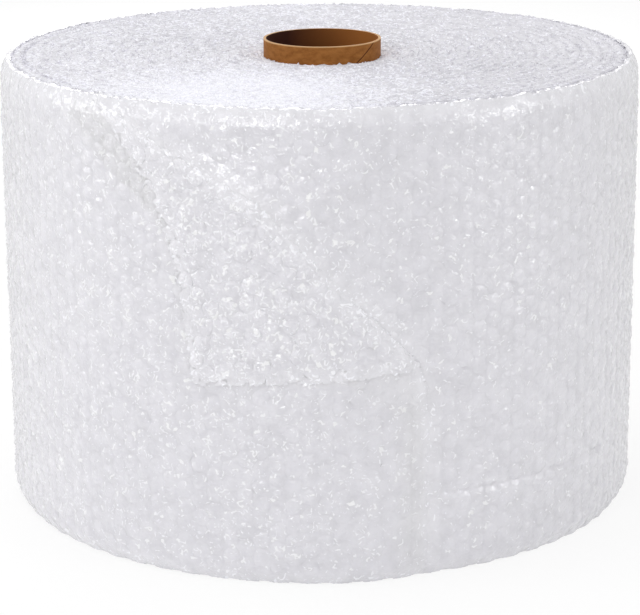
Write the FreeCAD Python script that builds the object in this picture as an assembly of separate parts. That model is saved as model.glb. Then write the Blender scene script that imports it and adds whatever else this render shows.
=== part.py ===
import FreeCAD, Part
import math
import os

# A roll of bubble wrap standing on end, wound on a cardboard core, in millimetres.
# The core's axis is the Z axis, the floor is z = 0 and the roll's front faces -Y.

# cardboard core, a 3 inch tube a little longer than the web is wide
bore_radius = 38.1
core_wall = 1.9
core_radius = bore_radius + core_wall
core_length = 312.0
seam_lead = 173.0
seam_open = 24.0
seam_width = 0.9
seam_depth = 0.5
seam_top_angle = -29.6

# bubble film, one sheet with its bubbles pressed flat by the winding
web_width = 305.0
wound_radius = 220.0
turns = 24
sheet = (wound_radius - core_radius) / turns
film_edge_drop = 3.0
film_edge_slope = 0.75

# the sheet's edges sink a little toward the core at the top end
sunk_turns = 14
sunk_steps = 5
sunk_step = 0.8

# the free end of the sheet and its folded top corner, seen from the front
end_angle = -72.4
fold_start_x = -150.0
fold_bend_x = -41.0
fold_bend_z = 247.0
fold_end_x = 53.0
fold_end_z = 150.0
fold_round_z = 112.0
fold_step = 1.8
flap_thickness = 1.4
flap_top_x = -93.0
flap_top_z = 273.0
flap_tip_x = -83.0
flap_tip_z = 129.0

# bubbles on the folded corner, the only place where they face out; every second
# bubble of the sheet's staggered rows is a solid one
bubble_spacing = 23.4
bubble_radius = 4.9
bubble_top_radius = 3.4
bubble_height = 2.6
bubble_root = 1.0
bubble_sides = 6
bubble_margin = 4.0
lattice_turn = -16.0

up = FreeCAD.Vector(0, 0, 1)


def polar(radius, degrees, z=0.0):
    angle = math.radians(degrees)
    return FreeCAD.Vector(radius * math.cos(angle), radius * math.sin(angle), z)


def cylinder(radius, height):
    return Part.makeCylinder(radius, height)


def make_core():
    tube = cylinder(core_radius, core_length).cut(cylinder(bore_radius, core_length))
    # the outer ply is wound in a helix, and its seam stands open above the film
    path = Part.makeHelix(seam_lead, seam_open + seam_width, core_radius)
    edge_out = FreeCAD.Vector(core_radius + seam_depth, 0, 0)
    low = FreeCAD.Vector(core_radius, 0, -seam_width / 2)
    high = FreeCAD.Vector(core_radius, 0, seam_width / 2)
    bottom = FreeCAD.Vector(core_radius - seam_depth, 0, 0)
    profile = Part.makePolygon([edge_out, low, bottom, high, edge_out])
    groove = Part.Wire(path.Edges).makePipeShell([profile], True, True)
    groove.translate(FreeCAD.Vector(0, 0, core_length - seam_open))
    groove.rotate(FreeCAD.Vector(), up, seam_top_angle - 360.0 * seam_open / seam_lead)
    return tube.cut(groove)


def centre(half):
    # the spiral is drawn with half turns about two centres a half sheet apart,
    # so each half turn starts where the one before it ends
    return polar(sheet / 4 if half == 1 else -sheet / 4, end_angle)


def outer_radius(half):
    return wound_radius - sheet / 4 - (0 if half == 1 else sheet / 2)


def edge_height(half_turn):
    # height of the sheet's edge, counted in half turns inward from the free end
    first_sunk = 2 * (turns - sunk_turns)
    per_step = 2 * sunk_turns / sunk_steps
    steps = max(0, math.ceil((half_turn - first_sunk) / per_step))
    return web_width - sunk_step * steps


def revolve_half(points, half):
    axis = centre(half)
    start = end_angle + (180 if half == 1 else 0)
    flat = [FreeCAD.Vector(r, 0, z) for r, z in points]
    face = Part.Face(Part.makePolygon(flat + [flat[0]]))
    ring = face.revolve(FreeCAD.Vector(), up, 180)
    ring.rotate(FreeCAD.Vector(), up, start)
    ring.translate(axis)
    return ring


def wound_half(half):
    radius = outer_radius(half)
    inner = core_radius - 2 * sheet
    points = [(inner, 0), (radius, 0)]
    turn = 0
    while radius - turn * sheet > inner + sheet:
        height = edge_height(2 * turn + (0 if half == 1 else 1))
        edge = radius - turn * sheet
        points.append((edge, height))
        points.append((edge - film_edge_slope * sheet, height - film_edge_drop))
        turn += 1
    points.append((inner, points[-1][1]))
    return revolve_half(points, half)


def front_prism(outline):
    # the outline is drawn on the XZ plane and carried forward through the roll's front
    face = Part.Face(outline)
    return face.extrude(FreeCAD.Vector(0, -1.2 * wound_radius, 0))


def flat_point(x, z):
    return FreeCAD.Vector(x, 0, z)


def fold_edges():
    # the fold runs down from the top end and turns into the upright free end
    end_x = wound_radius * math.cos(math.radians(end_angle))
    top_z = web_width
    start = flat_point(fold_start_x, top_z)
    bend = flat_point(fold_bend_x, fold_bend_z)
    end = flat_point(fold_end_x, fold_end_z)
    down = flat_point(end_x, fold_round_z)
    middle = flat_point(fold_end_x + 0.76 * (end_x - fold_end_x),
                        fold_end_z + 0.42 * (fold_round_z - fold_end_z))
    edges = [
        Part.makeLine(start, bend),
        Part.makeLine(bend, end),
        Part.Arc(end, middle, down).toShape(),
    ]
    return edges, start, down


def make_filled_turn():
    # the turn below spans the step of the free end in a straight line and then stands
    # out until it lies a little below the fold
    axis = centre(1)
    height = edge_height(1)
    body = cylinder(outer_radius(1) - fold_step, height)
    body.translate(axis)
    reach = 2 * wound_radius
    room = Part.makeBox(reach, 2 * reach, height)
    room.translate(FreeCAD.Vector(-reach + outer_radius(1) - sheet, -reach, 0))
    room.rotate(FreeCAD.Vector(), up, end_angle)
    room.translate(axis)
    return body.common(room)


def flap_corners():
    return [
        flat_point(flap_top_x, flap_top_z),
        flat_point(fold_bend_x, fold_bend_z),
        flat_point(fold_end_x, fold_end_z),
        flat_point(flap_tip_x, flap_tip_z),
    ]


def room_on_flap(spot):
    # distance from a place on the corner to its nearest border, less than 0 outside it
    corners = flap_corners()
    gaps = []
    for start, end in zip(corners, corners[1:] + corners[:1]):
        run = (end - start).normalize()
        away = spot - start
        gaps.append(run.z * away.x - run.x * away.z)
    return min(gaps)


def bubble_places():
    # staggered rows, turned as the fold turns the sheet
    row_gap = bubble_spacing * math.sqrt(3) / 2
    middle = FreeCAD.Vector()
    for corner in flap_corners():
        middle = middle + corner * 0.25
    reach = int(web_width / row_gap)
    places = []
    for row in range(-reach, reach + 1):
        for step in range(-reach, reach + 1):
            offset = FreeCAD.Vector(row * row_gap, 0, (step + row % 2 / 2) * bubble_spacing)
            angle = math.radians(lattice_turn)
            turned = FreeCAD.Vector(
                offset.x * math.cos(angle) - offset.z * math.sin(angle), 0,
                offset.x * math.sin(angle) + offset.z * math.cos(angle))
            spot = middle + turned
            if room_on_flap(spot) > bubble_radius + bubble_margin:
                places.append(spot)
    return places


def make_bubble(spot):
    # the place on the front view is carried out to the corner's surface
    seat = outer_radius(1) + flap_thickness
    axis = centre(1)
    side = spot.x - axis.x
    out = FreeCAD.Vector(side, -math.sqrt(seat ** 2 - side ** 2), 0) * (1 / seat)
    along = FreeCAD.Vector(-out.y, out.x, 0)
    rims = []
    for radius, height in (
            (bubble_radius, -bubble_root), (bubble_radius, 0), (bubble_top_radius, bubble_height)):
        rim_centre = axis + out * (seat + height) + up * spot.z
        corners = []
        for index in range(bubble_sides):
            angle = math.tau * index / bubble_sides
            corners.append(
                rim_centre + along * (radius * math.cos(angle)) + up * (radius * math.sin(angle)))
        rims.append(Part.makePolygon(corners + [corners[0]]))
    return Part.makeLoft(rims, True, True)


def make_wrap():
    wound = wound_half(1).fuse(wound_half(2))

    # above the fold the last turn is gone, for its corner is turned down
    edges, start, down = fold_edges()
    clear = web_width + 20.0
    right = flat_point(wound_radius, down.z)
    right_top = flat_point(wound_radius, clear)
    left_top = flat_point(start.x, clear)
    border = [
        Part.makeLine(down, right),
        Part.makeLine(right, right_top),
        Part.makeLine(right_top, left_top),
        Part.makeLine(left_top, start),
    ]
    corner = front_prism(Part.Wire(edges + border))
    layer_in = outer_radius(1) - sheet
    layer_out = outer_radius(1) + sheet
    layer = revolve_half(
        [(layer_in, 0), (layer_out, 0), (layer_out, clear), (layer_in, clear)], 1)
    wound = wound.cut(layer.common(corner).cut(make_filled_turn()))

    # the corner itself lies over the sheet below the fold, bubbles outward
    flap_out = outer_radius(1) + flap_thickness
    corners = flap_corners()
    outline = Part.makePolygon(corners + [corners[0]])
    skin = revolve_half(
        [(layer_in, 0), (flap_out, 0), (flap_out, web_width), (layer_in, web_width)], 1)
    wound = wound.fuse(skin.common(front_prism(outline)))
    wound = wound.fuse([make_bubble(spot) for spot in bubble_places()])

    bore = cylinder(core_radius, web_width)
    return wound.cut(bore).removeSplitter()


os.makedirs("parts", exist_ok=True)
make_core().exportStep("parts/core_tube.step")
make_wrap().exportStep("parts/bubble_wrap.step")
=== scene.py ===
import bpy
import math
import random
from mathutils import Matrix, Vector, noise


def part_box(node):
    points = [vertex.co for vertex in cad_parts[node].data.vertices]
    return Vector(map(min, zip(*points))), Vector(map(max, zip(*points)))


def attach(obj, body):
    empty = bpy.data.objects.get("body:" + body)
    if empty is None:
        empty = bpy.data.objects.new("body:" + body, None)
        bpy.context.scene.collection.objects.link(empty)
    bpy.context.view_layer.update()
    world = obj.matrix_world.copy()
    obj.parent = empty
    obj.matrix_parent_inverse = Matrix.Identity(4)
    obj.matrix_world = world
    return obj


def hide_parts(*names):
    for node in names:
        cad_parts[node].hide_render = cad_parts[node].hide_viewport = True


random.seed(7)
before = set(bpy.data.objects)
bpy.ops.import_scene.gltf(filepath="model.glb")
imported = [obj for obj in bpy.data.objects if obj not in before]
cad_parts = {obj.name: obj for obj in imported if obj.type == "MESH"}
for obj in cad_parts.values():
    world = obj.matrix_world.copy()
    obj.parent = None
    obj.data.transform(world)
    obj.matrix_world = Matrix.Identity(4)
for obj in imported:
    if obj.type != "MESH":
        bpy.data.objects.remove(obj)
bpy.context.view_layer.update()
scene = bpy.context.scene
mm = 0.001

# the roll, as the CAD nodes give it; the film is wound in a spiral from the free end inward
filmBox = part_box("bubble_wrap")
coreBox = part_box("core_tube")
roll = {
    "outerRadius": 220 * mm,   # at the free end of the film
    "turns": 24,
    "coreRadius": coreBox[1][0],
    "webWidth": filmBox[1][2],
    "endAngle": 17.6,          # degrees to the right of the front
    "sunkFrom": 150 * mm,      # inside this radius the film's edges sink toward the core
    "sunkDepth": 4 * mm,
}
roll["sheet"] = (roll["outerRadius"] - roll["coreRadius"]) / roll["turns"]
roll["firstTurn"] = math.pi * (2 * roll["outerRadius"] - roll["sheet"])


def windAt(along, up, out):
    # a point of the flat film, so far from its free end, wound onto the roll
    spread = max(roll["outerRadius"] ** 2 - along * roll["sheet"] / math.pi, 1e-6)
    radius = math.sqrt(spread)
    turned = math.tau * (roll["outerRadius"] - radius) / roll["sheet"]
    angle = math.radians(roll["endAngle"]) - turned
    radius += out
    return Vector((radius * math.sin(angle), -radius * math.cos(angle), up))


def topHeight(radius):
    # height of the film's edges at the top end, which sink toward the core
    share = (roll["sunkFrom"] - radius) / (roll["sunkFrom"] - roll["coreRadius"])
    return roll["webWidth"] - roll["sunkDepth"] * max(0.0, share) ** 1.3


def selectNothing():
    if bpy.context.object and bpy.context.object.mode != "OBJECT":
        bpy.ops.object.mode_set(mode="OBJECT")
    bpy.ops.object.select_all(action="DESELECT")


def pick(piece):
    selectNothing()
    piece.select_set(True)
    bpy.context.view_layer.objects.active = piece


def applyModifier(piece, kind, **settings):
    pick(piece)
    modifier = piece.modifiers.new(kind.title(), kind)
    for name, value in settings.items():
        setattr(modifier, name, value)
    bpy.ops.object.modifier_apply(modifier=modifier.name)


def moveVertices(piece, where):
    # each vertex goes to where(x, y, z)
    for vertex in piece.data.vertices:
        vertex.co = where(*vertex.co)
    piece.data.update()


def setMilky(piece, gapAt):
    # light spreads less in the film near a border, at gapAt(x, y) from it
    share = piece.data.attributes.new("milky", "FLOAT", "POINT")
    for vertex, item in zip(piece.data.vertices, share.data):
        gap = gapAt(vertex.co.x, vertex.co.y) / filmLook["borderFade"]
        item.value = min(max(gap - filmLook["borderClear"], 0), 1)


def finishPiece(piece, name, material, smooth=35):
    piece.name = name
    piece.data.name = name
    piece.data.materials.clear()
    piece.data.materials.append(material)
    pick(piece)
    bpy.ops.object.shade_smooth_by_angle(angle=math.radians(smooth))
    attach(piece, "root")
    return piece


def toLinear(hexColour):
    channels = [int(hexColour[i:i + 2], 16) / 255 for i in (1, 3, 5)]
    linear = [c / 12.92 if c <= 0.04045 else ((c + 0.055) / 1.055) ** 2.4 for c in channels]
    return (*linear, 1.0)


def addNode(tree, kind, settings=None, values=None, links=None):
    # a node with its settings, its socket values, and the sockets that feed it
    node = tree.nodes.new(kind)
    for name, value in (settings or {}).items():
        setattr(node, name, value)
    for name, value in (values or {}).items():
        node.inputs[name].default_value = value
    for name, source in (links or {}).items():
        tree.links.new(source, node.inputs[name])
    return node


def newMaterial(name):
    material = bpy.data.materials.new(name)
    material.use_nodes = True
    material.node_tree.nodes.clear()
    return material, material.node_tree


# camera, at the photograph's angle
cameraSet = {
    "lens": 135.84,         # mm
    "distance": 1.6958,     # metres from the point it is aimed at
    "aimHeight": 0.12105,
    "side": -0.00243,
    "down": 15.605,         # degrees
    "roll": -0.306,
}


def placeCamera():
    down = math.radians(cameraSet["down"])
    bpy.ops.object.camera_add()
    camera = bpy.context.object
    camera.name = "camera"
    camera.data.lens = cameraSet["lens"]
    camera.data.clip_end = 50
    place = Vector((
        cameraSet["side"],
        -cameraSet["distance"] * math.cos(down),
        cameraSet["aimHeight"] + cameraSet["distance"] * math.sin(down),
    ))
    camera.matrix_world = (
        Matrix.Translation(place)
        @ Matrix.Rotation(math.radians(90) - down, 4, "X")
        @ Matrix.Rotation(math.radians(cameraSet["roll"]), 4, "Z")
    )
    scene.camera = camera


selectNothing()
placeCamera()
print("camera placed")


# world, lamps and floor
light = {
    "sky": 0.57,            # what lights the roll
    "backdrop": 1.0,        # what the camera sees
    "aim": (0, 0, 0.16),
    "floor": "#FFFFFF",
    "floorGlow": 0.85,      # share of the floor that a camera sees as plain white
    # places and sizes in metres, power in watts
    "key": {"place": (-0.8, -2.0, 0.9), "size": 0.7, "power": 7},
    "side": {"place": (-2.2, -0.5, 0.8), "size": 0.8, "power": 7.5},
    "fill": {"place": (2.0, -1.0, 0.7), "size": 0.8, "power": 5.4},
    "top": {"place": (-0.2, -0.05, 2.2), "size": 0.9, "power": 12},
    "back": {"place": (-0.2, 2.1, 1.0), "size": 1.2, "power": 12},
}


def seenRay(tree):
    # 1 for what a camera, a reflection or a see-through surface looks at
    path = addNode(tree, "ShaderNodeLightPath")
    seen = addNode(tree, "ShaderNodeMath", {"operation": "MAXIMUM"}, links={
        0: path.outputs["Is Camera Ray"], 1: path.outputs["Is Glossy Ray"]})
    return addNode(tree, "ShaderNodeMath", {"operation": "MAXIMUM"}, links={
        0: seen.outputs[0], 1: path.outputs["Is Transmission Ray"]}).outputs[0]


def makeWorld():
    world = bpy.data.worlds.new("whiteRoom")
    world.use_nodes = True
    tree = world.node_tree
    tree.nodes.clear()
    level = addNode(tree, "ShaderNodeMapRange", values={
        "To Min": light["sky"], "To Max": light["backdrop"]}, links={"Value": seenRay(tree)})
    back = addNode(tree, "ShaderNodeBackground", values={
        "Color": (1, 1, 1, 1)}, links={"Strength": level.outputs[0]})
    addNode(tree, "ShaderNodeOutputWorld", links={"Surface": back.outputs[0]})
    scene.world = world


def addLamp(name):
    lamp = light[name]
    bpy.ops.object.light_add(type="AREA", location=lamp["place"])
    obj = bpy.context.object
    obj.name = name + "Lamp"
    obj.data.shape = "DISK"
    obj.data.size = lamp["size"]
    obj.data.energy = lamp["power"]
    aim = Vector(light["aim"]) - Vector(lamp["place"])
    obj.rotation_euler = aim.to_track_quat("-Z", "Y").to_euler()


def makeFloor():
    bpy.ops.mesh.primitive_plane_add(size=24, location=(0, 0, 0))
    floor = bpy.context.object
    floor.name = "floor"
    material, tree = newMaterial("whiteFloor")
    diffuse = addNode(tree, "ShaderNodeBsdfDiffuse", values={"Color": toLinear(light["floor"])})
    glow = addNode(tree, "ShaderNodeEmission", values={"Color": toLinear(light["floor"])})
    share = addNode(tree, "ShaderNodeMath", {"operation": "MULTIPLY"}, {
        1: light["floorGlow"]}, {0: seenRay(tree)})
    mixed = addNode(tree, "ShaderNodeMixShader", links={
        "Fac": share.outputs[0], 1: diffuse.outputs[0], 2: glow.outputs[0]})
    addNode(tree, "ShaderNodeOutputMaterial", links={"Surface": mixed.outputs[0]})
    floor.data.materials.append(material)


makeWorld()
for lampName in ("key", "side", "fill", "top", "back"):
    addLamp(lampName)
makeFloor()
scene.view_settings.view_transform = "Standard"
print("light and floor ready")


# low-density polyethylene film, blown and laminated: milky where its layers gather, with a wet gloss
filmLook = {
    "pale": "#E5E4E9",
    "deep": "#DCDBE0",
    "glintWhite": "#F8F8FE",     # painted highlight: the short creases are drawn in this white, as glints
    "patch": 11 * mm,       # clouds of layers lying closer or looser
    "patchShades": (0.35, 0.62),
    "crinkle": 2.6 * mm,    # creases of the thin film
    "fine": 1.3 * mm,       # and finer ones between them
    "fineShare": 0.35,
    "creaseDepth": 2 * mm,
    "dashes": 3.6 * mm,     # short curved creases, painted white as glints
    "dashEdge": 0.13,       # softness of their edges
    "rightGlintCut": 0.1,           # painted glints: fewer on the right, where the light glints less on the film
    "rightGlintCutAt": 110 * mm,
    "glintBandAt": (-50 * mm, -165 * mm, 305 * mm),    # painted highlights: more in a band at the front of the top end
    "glintBandOut": 140 * mm,
    "roughness": 0.4,
    "wetRoughness": 0.15,   # of the gloss on top
    "ior": 1.51,
    "depth": 4 * mm,        # how far light spreads between the sheet's turns
    "borderFade": 9 * mm,   # near a border it spreads less
    "borderClear": 0.2,
}


def filmMaterial(name, soft, sharp, gloss, glintFrom, bandGlints=0, through=0):
    # soft is the relief that shades the milky film, sharp the relief its gloss glints on, gloss the
    # IOR of that gloss, glintFrom the height from which short creases are painted white as glints,
    # bandGlints how many more painted glints show at the front of the top end, and through the share
    # of light let through
    material, tree = newMaterial(name)
    place = addNode(tree, "ShaderNodeTexCoord").outputs["Object"]
    clouds = addNode(tree, "ShaderNodeTexNoise", values={
        "Scale": 1 / filmLook["patch"], "Detail": 3, "Roughness": 0.6}, links={"Vector": place})
    shade = addNode(tree, "ShaderNodeValToRGB", links={"Fac": clouds.outputs["Fac"]})
    shade.color_ramp.elements[0].position = filmLook["patchShades"][0]
    shade.color_ramp.elements[0].color = toLinear(filmLook["deep"])
    shade.color_ramp.elements[1].position = filmLook["patchShades"][1]
    shade.color_ramp.elements[1].color = toLinear(filmLook["pale"])
    # painted highlights: short curved creases drawn white as glints, as dense as the highest part of
    # a ridged noise
    crests = addNode(tree, "ShaderNodeTexNoise", {"noise_type": "RIDGED_MULTIFRACTAL"}, {
        "Scale": 1 / filmLook["dashes"], "Detail": 1.5, "Roughness": 0.55, "Distortion": 1.2},
        {"Vector": place})
    # painted glints: there are fewer on the right, where the light glints less
    apart = addNode(tree, "ShaderNodeSeparateXYZ", links={"Vector": place})
    rightGlintCut = addNode(tree, "ShaderNodeMapRange", values={
        "From Min": 0.0, "From Max": filmLook["rightGlintCutAt"], "To Max": filmLook["rightGlintCut"]}, links={
        "Value": apart.outputs["X"]})
    # and more painted glints at the front of the top end, as a band of highlights
    away = addNode(tree, "ShaderNodeVectorMath", {"operation": "DISTANCE"}, {
        1: filmLook["glintBandAt"]}, {0: place})
    glintBand = addNode(tree, "ShaderNodeMapRange", values={
        "From Min": filmLook["glintBandOut"], "From Max": 0.3 * filmLook["glintBandOut"],
        "To Max": bandGlints}, links={"Value": away.outputs["Value"]})
    left = addNode(tree, "ShaderNodeMath", {"operation": "SUBTRACT"}, links={
        0: glintBand.outputs[0], 1: rightGlintCut.outputs[0]})
    dashes = addNode(tree, "ShaderNodeMath", {"operation": "ADD"}, links={
        0: crests.outputs["Fac"], 1: left.outputs[0]})
    lines = addNode(tree, "ShaderNodeMapRange", values={
        "From Min": glintFrom, "From Max": glintFrom + filmLook["dashEdge"]}, links={
        "Value": dashes.outputs[0]})
    colour = addNode(tree, "ShaderNodeMix", {"data_type": "RGBA"})
    colour.inputs[7].default_value = toLinear(filmLook["glintWhite"])
    tree.links.new(lines.outputs[0], colour.inputs[0])
    tree.links.new(shade.outputs["Color"], colour.inputs[6])
    creases = addNode(tree, "ShaderNodeTexNoise", {"noise_type": "RIDGED_MULTIFRACTAL"}, {
        "Scale": 1 / filmLook["crinkle"], "Detail": 2, "Roughness": 0.5, "Distortion": 0.6},
        {"Vector": place})
    fine = addNode(tree, "ShaderNodeTexNoise", values={
        "Scale": 1 / filmLook["fine"], "Detail": 1}, links={"Vector": place})
    height = addNode(tree, "ShaderNodeMath", {"operation": "MULTIPLY_ADD"}, {
        1: filmLook["fineShare"]}, {0: fine.outputs["Fac"], 2: creases.outputs["Fac"]})
    reliefs = [addNode(tree, "ShaderNodeBump", values={
        "Strength": strength, "Distance": filmLook["creaseDepth"]}, links={
        "Height": height.outputs[0]}) for strength in (soft, sharp)]
    milky = addNode(tree, "ShaderNodeAttribute", {"attribute_name": "milky"})
    skin = addNode(tree, "ShaderNodeBsdfPrincipled", values={
        "Roughness": filmLook["roughness"], "IOR": filmLook["ior"],
        "Subsurface Radius": (1, 1, 1), "Subsurface Scale": filmLook["depth"],
        "Specular IOR Level": 0.5 if gloss else 0.0, "Coat Weight": 1.0 if gloss else 0.0,
        "Coat Roughness": filmLook["wetRoughness"], "Coat IOR": gloss or 1.5}, links={
        "Base Color": colour.outputs[2], "Normal": reliefs[0].outputs["Normal"],
        "Subsurface Weight": milky.outputs["Fac"],
        "Coat Normal": reliefs[1].outputs["Normal"]})
    surface = skin.outputs[0]
    if through:
        # a single film lets light through to its other side
        lit = addNode(tree, "ShaderNodeBsdfTranslucent", links={"Color": colour.outputs[2]})
        surface = addNode(tree, "ShaderNodeMixShader", values={"Fac": through}, links={
            1: surface, 2: lit.outputs[0]}).outputs[0]
    addNode(tree, "ShaderNodeOutputMaterial", links={"Surface": surface})
    return material


filmSkin = filmMaterial(
    "polyethyleneFilm", soft=0.08, sharp=0.35, gloss=1.9, glintFrom=0.165)
filmCorner = filmMaterial(
    "foldedPolyethyleneFilm", soft=0.08, sharp=0.6, gloss=1.9, glintFrom=0.1)
filmBed = filmMaterial(
    "woundPolyethyleneFilm", soft=0.5, sharp=0.5, gloss=0, glintFrom=0.02, bandGlints=0.1)
filmEdge = filmMaterial(
    "polyethyleneFilmEdge", soft=0.2, sharp=0.3, gloss=1.15, glintFrom=0.06, bandGlints=0.12,
    through=0.3)


# spiral-wound kraft board: brown paper fibres, a paler cut rim and a dark seam
boardLook = {
    "pale": "#A66E36",
    "deep": "#7C4A1A",
    "rim": "#C39A6C",
    "inside": "#A0622A",
    "insideShade": "#2E0A08",    # painted shade: the inside is darker on the left, where less light falls into the tube
    "seam": "#3A0F10",
    "fibre": 3 * mm,
    "speck": 0.9 * mm,
    "speckDepth": 0.4 * mm,
    "cutRim": (0.8 * mm, 0.3 * mm),     # it turns pale between these depths below its top
    "paintedInside": (1.5 * mm, 1.8 * mm),      # and to its painted inside shading between these depths in its wall
    "darkSide": (-0.6, 0.7),            # the painted shade lightens between these, in radii to the right
    "groove": (0.05 * mm, 0.15 * mm),   # the seam starts between these depths in the wall
    "grooveEnd": (0.9 * mm, 0.7 * mm),  # and ends between these
}


def boardMaterial():
    material, tree = newMaterial("kraftBoard")
    place = addNode(tree, "ShaderNodeTexCoord").outputs["Object"]
    # the fibres run round the core
    along = addNode(tree, "ShaderNodeMapping", values={
        "Scale": (0.5, 0.5, 1)}, links={"Vector": place})
    fibres = addNode(tree, "ShaderNodeTexNoise", values={
        "Scale": 1 / boardLook["fibre"], "Detail": 6, "Roughness": 0.7}, links={
        "Vector": along.outputs[0]})
    shade = addNode(tree, "ShaderNodeValToRGB", links={"Fac": fibres.outputs["Fac"]})
    shade.color_ramp.elements[0].position = 0.3
    shade.color_ramp.elements[0].color = toLinear(boardLook["deep"])
    shade.color_ramp.elements[1].position = 0.75
    shade.color_ramp.elements[1].color = toLinear(boardLook["pale"])
    apart = addNode(tree, "ShaderNodeSeparateXYZ", links={"Vector": place})
    high = addNode(tree, "ShaderNodeMapRange", values={
        "From Min": coreBox[1][2] - boardLook["cutRim"][0],
        "From Max": coreBox[1][2] - boardLook["cutRim"][1]}, links={
        "Value": apart.outputs["Z"]})
    rimmed = addNode(tree, "ShaderNodeMix", {"data_type": "RGBA"})
    rimmed.inputs[7].default_value = toLinear(boardLook["rim"])
    tree.links.new(high.outputs[0], rimmed.inputs[0])
    tree.links.new(shade.outputs["Color"], rimmed.inputs[6])
    across = addNode(tree, "ShaderNodeCombineXYZ", links={
        "X": apart.outputs["X"], "Y": apart.outputs["Y"]})
    radius = addNode(tree, "ShaderNodeVectorMath", {"operation": "LENGTH"}, links={
        0: across.outputs[0]})
    # painted shade: inside its wall the core darkens to the left and lightens to the right, as light
    # falls into the tube
    within = addNode(tree, "ShaderNodeMapRange", values={
        "From Min": coreBox[1][0] - boardLook["paintedInside"][0],
        "From Max": coreBox[1][0] - boardLook["paintedInside"][1],
        "To Max": 0.95}, links={"Value": radius.outputs["Value"]})
    rightward = addNode(tree, "ShaderNodeMapRange", values={
        "From Min": boardLook["darkSide"][0] * coreBox[1][0],
        "From Max": boardLook["darkSide"][1] * coreBox[1][0]}, links={
        "Value": apart.outputs["X"]})
    insideShading = addNode(tree, "ShaderNodeMix", {"data_type": "RGBA"})
    insideShading.inputs[6].default_value = toLinear(boardLook["insideShade"])
    insideShading.inputs[7].default_value = toLinear(boardLook["inside"])
    tree.links.new(rightward.outputs[0], insideShading.inputs[0])
    paintedInside = addNode(tree, "ShaderNodeMix", {"data_type": "RGBA"})
    tree.links.new(insideShading.outputs[2], paintedInside.inputs[7])
    tree.links.new(within.outputs[0], paintedInside.inputs[0])
    tree.links.new(rimmed.outputs[2], paintedInside.inputs[6])
    specks = addNode(tree, "ShaderNodeTexNoise", values={
        "Scale": 1 / boardLook["speck"], "Detail": 2}, links={"Vector": place})
    relief = addNode(tree, "ShaderNodeBump", values={
        "Strength": 0.25, "Distance": boardLook["speckDepth"]}, links={
        "Height": specks.outputs["Fac"]})
    sunk = addNode(tree, "ShaderNodeMapRange", values={
        "From Min": coreBox[1][0] - boardLook["groove"][0],
        "From Max": coreBox[1][0] - boardLook["groove"][1]}, links={
        "Value": radius.outputs["Value"]})
    outward = addNode(tree, "ShaderNodeMapRange", values={
        "From Min": coreBox[1][0] - boardLook["grooveEnd"][0],
        "From Max": coreBox[1][0] - boardLook["grooveEnd"][1]}, links={
        "Value": radius.outputs["Value"]})
    grooved = addNode(tree, "ShaderNodeMath", {"operation": "MULTIPLY"}, links={
        0: sunk.outputs[0], 1: outward.outputs[0]})
    below = addNode(tree, "ShaderNodeMath", {"operation": "SUBTRACT", "use_clamp": True}, links={
        0: grooved.outputs[0], 1: high.outputs[0]})
    seamed = addNode(tree, "ShaderNodeMix", {"data_type": "RGBA"})
    seamed.inputs[7].default_value = toLinear(boardLook["seam"])
    tree.links.new(below.outputs[0], seamed.inputs[0])
    tree.links.new(paintedInside.outputs[2], seamed.inputs[6])
    board = addNode(tree, "ShaderNodeBsdfPrincipled", values={
        "Roughness": 0.75, "Specular IOR Level": 0.2}, links={
        "Base Color": seamed.outputs[2], "Normal": relief.outputs["Normal"]})
    addNode(tree, "ShaderNodeOutputMaterial", links={"Surface": board.outputs[0]})
    return material


kraftBoard = boardMaterial()
for slot in bpy.data.objects["core_tube"].material_slots:
    slot.material = kraftBoard
print("materials ready")


# one bubble and the film round it, a hexagon of the staggered lattice, lying flat
bubble = {
    "pitch": 11.7 * mm,     # from one bubble to the next, up the sheet
    "cell": 0.87,           # the cell's half width, as a share of its reach to a corner
    "rim": 5.0 * mm,
    "wall": 1.2 * mm,       # ring that rises from the rim
    "rise": 0.32 * mm,
    "crown": 1.7 * mm,      # ring that rises from the wall
    "crownRise": 0.22 * mm,
    "top": 0.1 * mm,
    "fuller": 0.8,          # bubbles at the sides are less flattened
    "least": 0.8,           # how full one is, and how much that varies over patches
    "varied": 0.7,
    "patches": 9 * mm,
}


def modelBubble(rise, crownRise):
    reach = bubble["pitch"] / math.sqrt(3)
    bpy.ops.mesh.primitive_circle_add(vertices=12, radius=reach, fill_type="NGON")
    cell = bpy.context.object
    for vertex in cell.data.vertices:
        turn = round(math.degrees(math.atan2(vertex.co.y, vertex.co.x)) / 30)
        if turn % 2:    # the middle of a side
            vertex.co *= math.cos(math.radians(30))
    bpy.ops.object.mode_set(mode="EDIT")
    bpy.ops.mesh.select_all(action="SELECT")
    bpy.ops.mesh.inset(thickness=reach * bubble["cell"] - bubble["rim"], depth=0)
    bpy.ops.transform.tosphere(value=1)
    bpy.ops.mesh.inset(thickness=bubble["wall"], depth=rise)
    bpy.ops.mesh.inset(thickness=bubble["crown"], depth=crownRise)
    bpy.ops.mesh.poke(offset=bubble["top"])
    bpy.ops.object.mode_set(mode="OBJECT")
    return cell


def latticeSheet(columns, rows, rise, crownRise):
    # two columns, the second half a pitch up, repeated along and up the sheet
    across = bubble["pitch"] * math.sqrt(3) / 2
    cell = modelBubble(rise, crownRise)
    pick(cell)
    bpy.ops.object.duplicate()
    second = bpy.context.object
    second.location = (across, bubble["pitch"] / 2, 0)
    cell.select_set(True)
    bpy.context.view_layer.objects.active = cell
    bpy.ops.object.join()
    applyModifier(cell, "ARRAY", count=rows, use_relative_offset=False, use_constant_offset=True,
                  constant_offset_displace=(0, bubble["pitch"], 0))
    applyModifier(cell, "ARRAY", count=math.ceil(columns / 2), use_relative_offset=False,
                  use_constant_offset=True, constant_offset_displace=(2 * across, 0, 0))
    bpy.ops.object.mode_set(mode="EDIT")
    bpy.ops.mesh.select_all(action="SELECT")
    bpy.ops.mesh.remove_doubles(threshold=0.1 * mm)
    bpy.ops.object.mode_set(mode="OBJECT")
    return cell


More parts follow.
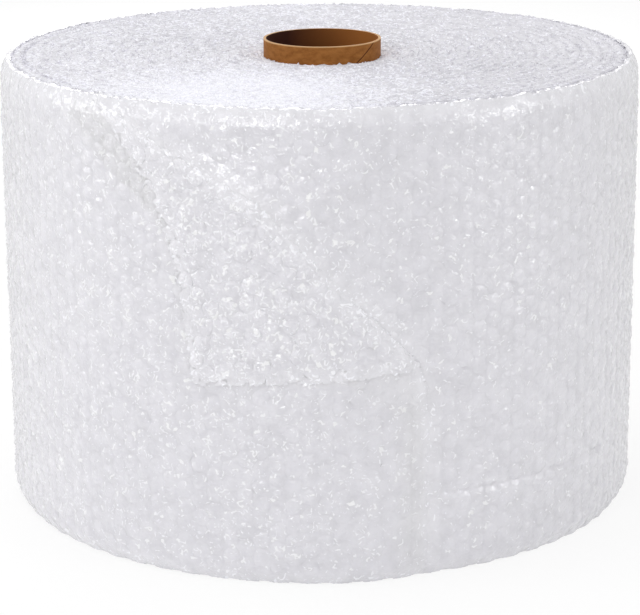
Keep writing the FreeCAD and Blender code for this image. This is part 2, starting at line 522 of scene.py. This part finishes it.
def trim(piece, start, end, within=None):
    # cuts the flat sheet along a line and drops what lies to the left of start to end
    pick(piece)
    bpy.ops.object.mode_set(mode="EDIT")
    bpy.ops.mesh.select_mode(type="FACE")
    bpy.ops.mesh.select_all(action="DESELECT")
    bpy.ops.object.mode_set(mode="OBJECT")
    for face in piece.data.polygons:
        face.select = within is None or within(face.center)
    bpy.ops.object.mode_set(mode="EDIT")
    run = Vector(end) - Vector(start)
    bpy.ops.mesh.bisect(plane_co=(*start, 0), plane_no=(-run.y, run.x, 0), clear_outer=True)
    bpy.ops.object.mode_set(mode="OBJECT")


def crumple(piece, across, out):
    # a small random shift of every vertex, larger or smaller from bubble to bubble
    for vertex in piece.data.vertices:
        x, y, z = vertex.co
        patch = noise.noise(Vector((x, y, 0)) / bubble["patches"])
        full = bubble["least"] + bubble["varied"] * patch
        vertex.co = (
            x + random.uniform(-across, across),
            y + random.uniform(-across, across),
            z * full + random.uniform(-out, out),
        )


def hemBorder(piece, depth):
    # turns the sheet's open border in toward the roll
    pick(piece)
    bpy.ops.object.mode_set(mode="EDIT")
    bpy.ops.mesh.select_mode(type="EDGE")
    bpy.ops.mesh.select_all(action="DESELECT")
    bpy.ops.mesh.select_non_manifold()
    bpy.ops.mesh.extrude_edges_move(TRANSFORM_OT_translate={"value": (0, 0, -depth)})
    bpy.ops.object.mode_set(mode="OBJECT")


# outer turn; on the flat sheet x runs back from the free end and y up the web
outerTurn = {
    # points are mm to the right of the front, and up
    "fold": [(-155, 305), (-41, 248), (53, 151), (61, 136), (67, 112)],
    "under": [(-170, 290), (46, 110)],    # the turn below is modelled down to this line
    "overlap": 22 * mm,     # and so far left of the free end
    "shoulder": 14 * mm,    # the film's top and bottom edges curl in
    "curl": 5.5 * mm,
    "lower": 1.6 * mm,      # the rim's lip lies below the edges of the turns inside
    "lowest": 0.3 * mm,     # and the bottom edge above the floor
    "hem": 3 * mm,          # borders are turned in this deep
    "step": 1.8 * mm,       # the turn below fills out to this far under the fold
    "stepEnd": (40 * mm, 30 * mm),    # back in so far past the fold's left end, over so long
    "swell": 26 * mm,       # it is drawn out so far above the fold, and a quarter below
    "swellUp": (120 * mm, 40 * mm),   # from this height on, in full so far above that
    "drawn": 0.9 * mm,      # to this far outside the outer turn
    "pressed": 7.3 * mm,    # the free end lies close on the turn below
    "pressedOver": 70 * mm,
    "crease": {
        "up": 55 * mm,
        "from": 79 * mm,
        "to": 224 * mm,
        "deep": 1.4 * mm,
        "wide": 2.2 * mm,
    },
    "ragged": 1.3 * mm,     # unevenness of the rims
    "ripple": 5 * mm,       # length of its waves
    "raggedOver": 1.4,      # how far down they reach, in shoulders
    "flatter": 60 * mm,     # below the top rim the bubbles are drawn flat over this way
    "flattest": 0.35,       # what is left of their height at the rim
    "offset": (4 * mm, 1 * mm),       # the lattice is moved past the free end and up
    "crumple": (0.3 * mm, 0.22 * mm),    # random shifts across the sheet and out of it
}
endArc = math.radians(roll["endAngle"]) * roll["outerRadius"]


def onSheet(point, turnBack=0.0):
    return Vector((endArc - point[0] * mm + turnBack, point[1] * mm))


def foldHeight(right):
    # height of the fold at a place so far to the right of the front, in metres
    points = [Vector(point) * mm for point in outerTurn["fold"]]
    if right <= points[0].x:
        return roll["webWidth"] + 1
    for start, end in zip(points, points[1:]):
        if right <= end.x:
            return start.y + (end.y - start.y) * (right - start.x) / (end.x - start.x)
    return 0


def nearestOn(line, x, y):
    # the way from a line of points on the front to a place on the sheet
    spot = Vector((x, y))
    points = [onSheet(point) for point in line]
    best = None
    for start, end in zip(points, points[1:]):
        run = end - start
        share = min(max((spot - start).dot(run) / run.length_squared, 0), 1)
        away = spot - (start + run * share)
        if best is None or away.length < best[0].length:
            best = (away, run)
    return best


def foldGap(x, y):
    # distance of a place on the sheet beyond the fold, and the way out from it
    away, run = nearestOn(outerTurn["fold"], x, y)
    beyond = run.cross(away) < 0
    wayOut = Vector((run.y, -run.x)).normalized()
    return (away.length if beyond else -away.length), wayOut


def curlIn(up):
    # how far the sheet's edges have curled in at this height
    edge = min(up, roll["webWidth"] - up)
    share = max(0.0, 1 - edge / outerTurn["shoulder"])
    return outerTurn["curl"] * share ** 2


def rimWave(along, up):
    # the film's top edge and its shoulder are crumpled
    over = outerTurn["raggedOver"] * outerTurn["shoulder"]
    share = max(0.0, 1 - (roll["webWidth"] - up) / over)
    ripple = outerTurn["ripple"]
    wave = noise.noise(Vector((along / ripple, up / ripple, 0)))
    return outerTurn["ragged"] * share * wave


def creaseDepth(along, up):
    # a crease runs level across the turn right of the free end
    crease = outerTurn["crease"]
    right = roll["firstTurn"] + endArc - along
    inside = crease["from"] < right < crease["to"] and along > 0.5 * roll["firstTurn"]
    away = (up - crease["up"]) / crease["wide"]
    return -crease["deep"] * math.exp(-away * away) if inside else 0


def filledOut(along):
    # the turn below spans the free end's step in a straight line, then stands out
    past = (along - roll["firstTurn"]) / roll["outerRadius"]
    if past <= 0:
        return 0
    low = roll["outerRadius"] - roll["sheet"]
    out = min(low / math.cos(min(past, 0.5)) - low, roll["sheet"] - outerTurn["step"])
    last = onSheet(outerTurn["fold"][0], roll["firstTurn"]).x
    beyond, over = outerTurn["stepEnd"]
    return out * min(max((last + beyond - along) / over, 0), 1)


def swollen(along, up):
    # the turn below is drawn out along the fold, which lies on it
    if along < roll["firstTurn"]:
        return 0
    gap = foldGap(along - roll["firstTurn"], up)[0]
    reach = outerTurn["swell"] if gap > 0 else outerTurn["swell"] / 4
    share = max(0.0, 1 - abs(gap) / reach)
    low, over = outerTurn["swellUp"]
    share *= min(max((up - low) / over, 0), 1)
    return (outerTurn["step"] + outerTurn["drawn"]) * share ** 2


def pressedIn(along):
    # the free end is pressed down toward the turn below
    return outerTurn["pressed"] * max(1 - along / outerTurn["pressedOver"], 0) ** 2


# folded corner, its bubbles outward and its lattice turned as the fold turns it
corner = {
    # its cut edges and its middle, in mm to the right of the front, and up
    "low": [(61, 138), (-83, 129)],
    "left": [(-83, 129), (-94, 205), (-108, 248), (-155, 305)],
    "middle": (-50, 215),
    "columns": 28,          # of the lattice that it is cut from
    "rows": 24,
    "turned": 16,           # degrees
    "lift": 1.2 * mm,       # it lies so far above the turn below, and less at its cut edges
    "least": 0.2,
    "taper": 14 * mm,
    "rise": 0.34 * mm,
    "crownRise": 0.26 * mm,
    "bend": 2.2 * mm,       # radius of the fold
    "bent": 2.0,            # how far round the fold the sheet is drawn, in radians
    "bentFlat": 0.6,        # bubbles are flatter there
    "crumple": (0.4 * mm, 0.32 * mm),
    "hem": 0.5 * mm,        # deeper than its lift
    "overCut": 2 * mm,      # the cuts of its left edge run past each other
}


def laidDown(x, y):
    # the folded corner comes down toward its cut edges
    away = nearestOn(corner["low"] + corner["left"][1:], x, y)[0]
    return min(corner["least"] + away.length / corner["taper"], 1)


def windSheet(piece, lift):
    # the flat sheet is seen from its back once wound, so its faces are turned round
    def place(x, y, z):
        if z > 0:
            aside = math.sin(math.radians(roll["endAngle"]) - x / roll["outerRadius"])
            z *= 1 + bubble["fuller"] * aside ** 4
            z *= min(outerTurn["flattest"] + (roll["webWidth"] - y) / outerTurn["flatter"], 1)
        if lift:
            z += lift * laidDown(x, y)
        z += filledOut(x) + swollen(x, y)
        z -= pressedIn(x) + curlIn(y)
        z += creaseDepth(x, y)
        # a metre on, the rim's noise is another one
        return windAt(x, y + rimWave(x, y), z + rimWave(x + 1, y))

    border = outerTurn["fold"] + (
        corner["low"] + corner["left"][1:] if lift else [(endArc / mm, 0)])

    def borderGap(x, y):
        turned = x if x < roll["firstTurn"] / 2 else x - roll["firstTurn"]
        away = nearestOn(border, turned, y)[0]
        toSplit = abs(windAt(x, y, 0).y)    # the front and the back half meet at y = 0
        return min(away.length, toSplit, y, roll["webWidth"] - outerTurn["lower"] - y)

    setMilky(piece, borderGap)
    moveVertices(piece, place)
    piece.data.flip_normals()


def makeOuterTurn():
    across = bubble["pitch"] * math.sqrt(3) / 2
    turn = roll["firstTurn"]
    far = onSheet(outerTurn["under"][0], turn).x
    rows = math.ceil(roll["webWidth"] / bubble["pitch"]) + 1
    sheet = latticeSheet(math.ceil(far / across) + 2, rows, bubble["rise"], bubble["crownRise"])
    back, up = outerTurn["offset"]
    moveVertices(sheet, lambda x, y, z: (x - back, y + up, z))
    top = roll["webWidth"] - outerTurn["lower"]
    low = outerTurn["lowest"]
    trim(sheet, (0, 0), (0, 1))
    trim(sheet, (far, 1), (far, 0))
    trim(sheet, (1, low), (0, low))
    trim(sheet, (0, top), (1, top))
    folded = [onSheet(point) for point in outerTurn["fold"]]
    for left, right in zip(folded, folded[1:]):
        trim(sheet, right, left, lambda c: c.x < turn / 2)
    left, right = [onSheet(point, turn) for point in outerTurn["under"]]
    trim(sheet, left, right, lambda c: c.x > turn + outerTurn["overlap"])
    crumple(sheet, *outerTurn["crumple"])
    hemBorder(sheet, outerTurn["hem"])
    return sheet


def splitBack(piece):
    # the back half becomes a piece of its own
    pick(piece)
    bpy.ops.object.mode_set(mode="EDIT")
    bpy.ops.mesh.select_mode(type="FACE")
    bpy.ops.mesh.select_all(action="DESELECT")
    bpy.ops.object.mode_set(mode="OBJECT")
    for face in piece.data.polygons:
        face.select = face.center.y > 0
    bpy.ops.object.mode_set(mode="EDIT")
    bpy.ops.mesh.separate(type="SELECTED")
    bpy.ops.object.mode_set(mode="OBJECT")
    return [obj for obj in bpy.context.selected_objects if obj != piece][0]


outer = makeOuterTurn()
windSheet(outer, 0)
outerBack = splitBack(outer)
finishPiece(outer, "outerTurnFront", filmSkin)
finishPiece(outerBack, "outerTurnBack", filmSkin)
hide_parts("bubble_wrap")
print("outer turn wound", len(outer.data.polygons), len(outerBack.data.polygons))


def makeFoldedCorner():
    columns = corner["columns"]
    rows = corner["rows"]
    flap = latticeSheet(columns, rows, corner["rise"], corner["crownRise"])
    middle = onSheet(corner["middle"])
    # half the lattice's size, its columns 0.866 of a pitch apart
    size = Vector((columns * bubble["pitch"] * 0.433, rows * bubble["pitch"] * 0.5, 0))
    turn = Matrix.Rotation(math.radians(corner["turned"]), 4, "Z")

    def place(x, y, z):
        spot = turn @ (Vector((x, y, z)) - size)
        return (spot.x + middle.x, spot.y + middle.y, spot.z)

    moveVertices(flap, place)
    points = [onSheet(point) for point in outerTurn["fold"][:-1]]
    for a, b in zip(points, points[1:]):
        past = Vector((b.y - a.y, a.x - b.x)).normalized() * corner["bend"] * (corner["bent"] - 1)
        trim(flap, b + past, a + past)
    low = [onSheet(point) for point in corner["low"]]
    trim(flap, low[1], low[0])
    left = [onSheet(point) for point in corner["left"]]
    for a, b in zip(left, left[1:]):
        lowest = 0 if a == left[0] else a.y - corner["overCut"]
        highest = 1 if b == left[-1] else b.y + corner["overCut"]
        trim(flap, b, a, lambda c: lowest < c.y < highest)
    crumple(flap, *corner["crumple"])
    hemBorder(flap, corner["lift"] + corner["hem"])
    return flap


def bendFold(x, y, z):
    # rolls the sheet back under itself past the fold
    gap, wayOut = foldGap(x, y)
    radius = corner["bend"]
    angle = max(gap / radius + 1, 0)
    if angle == 0:
        return (x, y, z)
    z *= corner["bentFlat"]
    spot = Vector((x, y)) - wayOut * (gap + radius)
    spot += wayOut * (radius + z) * math.sin(angle)
    return (spot.x, spot.y, (radius + z) * math.cos(angle) - radius)


flap = makeFoldedCorner()
moveVertices(flap, bendFold)
windSheet(flap, corner["lift"])
finishPiece(flap, "foldedCorner", filmCorner, 25)
print("folded corner laid down", len(flap.data.polygons))


# the turns inside, as one body under the outer turn and under the edges at the top end
innerTurns = {
    "steps": 240,           # round the roll
    "rows": 36,             # up its wall
    "rings": 120,           # five to each turn
    "gap": 1.5 * mm,        # under the film that covers it
    "bed": 1.1 * mm,        # below the edges of the film
    "foot": 1.8 * mm,       # height of the bottom end above the floor
    "underFold": 10 * mm,   # from so far below the fold upward the outermost turn is gone
    "dip": 1.1 * mm,        # depth of the gap between two turns
}


def makeInnerTurns():
    steps = innerTurns["steps"]
    rows = innerTurns["rows"]
    rings = innerTurns["rings"]
    bpy.ops.mesh.primitive_grid_add(x_subdivisions=steps, y_subdivisions=rows + 2 * rings, size=2)
    body = bpy.context.object
    inner = roll["coreRadius"]
    foldSide = outerTurn["under"][0][0] * mm

    def place(x, y, z):
        angle = (x + 1) * math.pi
        # levels run out along the bottom end, up the wall and in along the top end
        level = round((y + 1) / 2 * (rows + 2 * rings))
        back = (math.radians(roll["endAngle"]) - angle) % math.tau
        outside = roll["outerRadius"] - roll["sheet"] * back / math.tau
        right = (math.radians(roll["endAngle"]) - back) * roll["outerRadius"]
        wall = min(max(level - rings, 0), rows) / rows
        top = roll["webWidth"] - innerTurns["bed"]
        foot = innerTurns["foot"]
        up = foot + wall * (top - foot)
        wound = outside
        if up > foldHeight(right) - innerTurns["underFold"] and right > foldSide:
            below = roll["firstTurn"] + back * roll["outerRadius"]
            outside -= roll["sheet"] - filledOut(below)
        else:
            outside -= pressedIn(back * roll["outerRadius"])
        outside -= innerTurns["gap"] + curlIn(up)
        share = 1.0
        if level < rings:
            share = level / rings
        elif level > rings + rows:
            share = (rows + 2 * rings - level) / rings
        radius = inner + (outside - inner) * share
        between = 0.5 + 0.5 * math.cos(math.tau * (wound - radius) / roll["sheet"])
        if wound - radius < 0.5 * roll["sheet"]:    # the outermost turn closes up to the rim
            between = 0
        if level >= rings + rows:
            up = topHeight(radius) - innerTurns["bed"] - innerTurns["dip"] * between ** 3
        if level < rings:
            up += innerTurns["dip"] * between ** 3
        return (radius * math.sin(angle), -radius * math.cos(angle), up)

    moveVertices(body, place)
    bpy.ops.object.mode_set(mode="EDIT")
    bpy.ops.mesh.select_all(action="SELECT")
    bpy.ops.mesh.remove_doubles(threshold=0.05 * mm)
    bpy.ops.mesh.normals_make_consistent(inside=False)
    bpy.ops.object.mode_set(mode="OBJECT")
    return body


inside = makeInnerTurns()
finishPiece(inside, "innerTurns", filmBed, 60)
print("inner turns filled")


# edges of the film: a flat sheet and a bubbled sheet side by side in every turn at the top end,
# and one sheet at the bottom end
edges = {
    "step": 2.0 * mm,       # along the film, and twice that at the bottom end
    "height": 3.6 * mm,
    "lower": 1 * mm,        # below the turns' full height
    "foot": 0.4 * mm,       # above the floor at the bottom end
    "endBefore": 40 * mm,   # they stop short of the core
    "easing": 500 * mm,     # way over which the turns come clear of the curled rim
    "inset": 2 * mm,
    "wobble": {"long": 5 * mm, "out": 1.6 * mm},
    "drift": {"long": 23 * mm, "out": 3 * mm},
    "lean": {"long": 3.4 * mm, "out": 2.4 * mm},
    "ragged": {"long": 2.9 * mm, "up": 1.7 * mm},
    "wave": 10.13 * mm,     # a bubbled sheet waves from bubble to bubble
    "waveShift": 50 * mm,   # and out of step from turn to turn
    "waveOut": (0.1, 0.6),  # in sheets, at the least and more over a bubble
    "waveVaried": 11 * mm,
    "clear": 0.2 * mm,      # outside the core
}
filmLength = math.pi * (roll["outerRadius"] ** 2 - roll["coreRadius"] ** 2) / roll["sheet"]


def makeEdgeRibbon(waved, seed, low=False):
    start = onSheet(outerTurn["fold"][0]).x
    count = int((filmLength - start) / edges["step"] / (2 if low else 1))
    bpy.ops.mesh.primitive_grid_add(x_subdivisions=count, y_subdivisions=2, size=2)
    ribbon = bpy.context.object

    def place(x, y, z):
        along = start + (x + 1) / 2 * (filmLength - start - edges["endBefore"])
        rise = (y + 1) / 2
        radius = math.sqrt(roll["outerRadius"] ** 2 - along * roll["sheet"] / math.pi)
        # each noise has its own place along the third axis
        wobble = noise.noise(Vector((along / edges["wobble"]["long"], 0, seed)))
        lean = noise.noise(Vector((along / edges["lean"]["long"], rise * 0.7, seed + 9)))
        rag = noise.noise(Vector((along / edges["ragged"]["long"], 0, seed + 21)))
        spot = Vector((along / edges["waveVaried"], 0, seed + 30))
        drift = noise.noise(Vector((along / edges["drift"]["long"], 0, seed + 50)))
        out = -edges["inset"] + edges["wobble"]["out"] * wobble
        out = out + edges["drift"]["out"] * drift + edges["lean"]["out"] * lean * rise
        out += filledOut(along)
        past = along - onSheet(outerTurn["under"][0], roll["firstTurn"]).x
        out -= outerTurn["curl"] * min(max(1 - past / edges["easing"], 0), 1)
        if waved:
            shift = 2 * noise.noise(Vector((along / edges["waveShift"], 0, 3)))
            bubbled = abs(math.sin(math.pi * (along / edges["wave"] + shift)))
            least, more = edges["waveOut"]
            out -= roll["sheet"] * (least + more * bubbled * (0.6 + noise.noise(spot)))
        out = max(out, roll["coreRadius"] + edges["clear"] - radius)
        if low:    # at the floor the edges are pressed level
            return windAt(along, edges["foot"] + edges["height"] * (1 - rise), out)
        up = topHeight(radius) - edges["height"] * (1 - rise) - edges["lower"]
        up += edges["ragged"]["up"] * rag * rise
        return windAt(along, up, out)

    moveVertices(ribbon, place)
    return ribbon


flatEdge = makeEdgeRibbon(False, 1.0)
finishPiece(flatEdge, "flatFilmEdge", filmEdge, 30)
waveEdge = makeEdgeRibbon(True, 5.0)
finishPiece(waveEdge, "bubbleFilmEdge", filmEdge, 30)
lowEdge = makeEdgeRibbon(True, 8.0, True)
finishPiece(lowEdge, "lowFilmEdge", filmEdge, 30)
print("film edges at both ends", len(flatEdge.data.polygons), len(lowEdge.data.polygons))
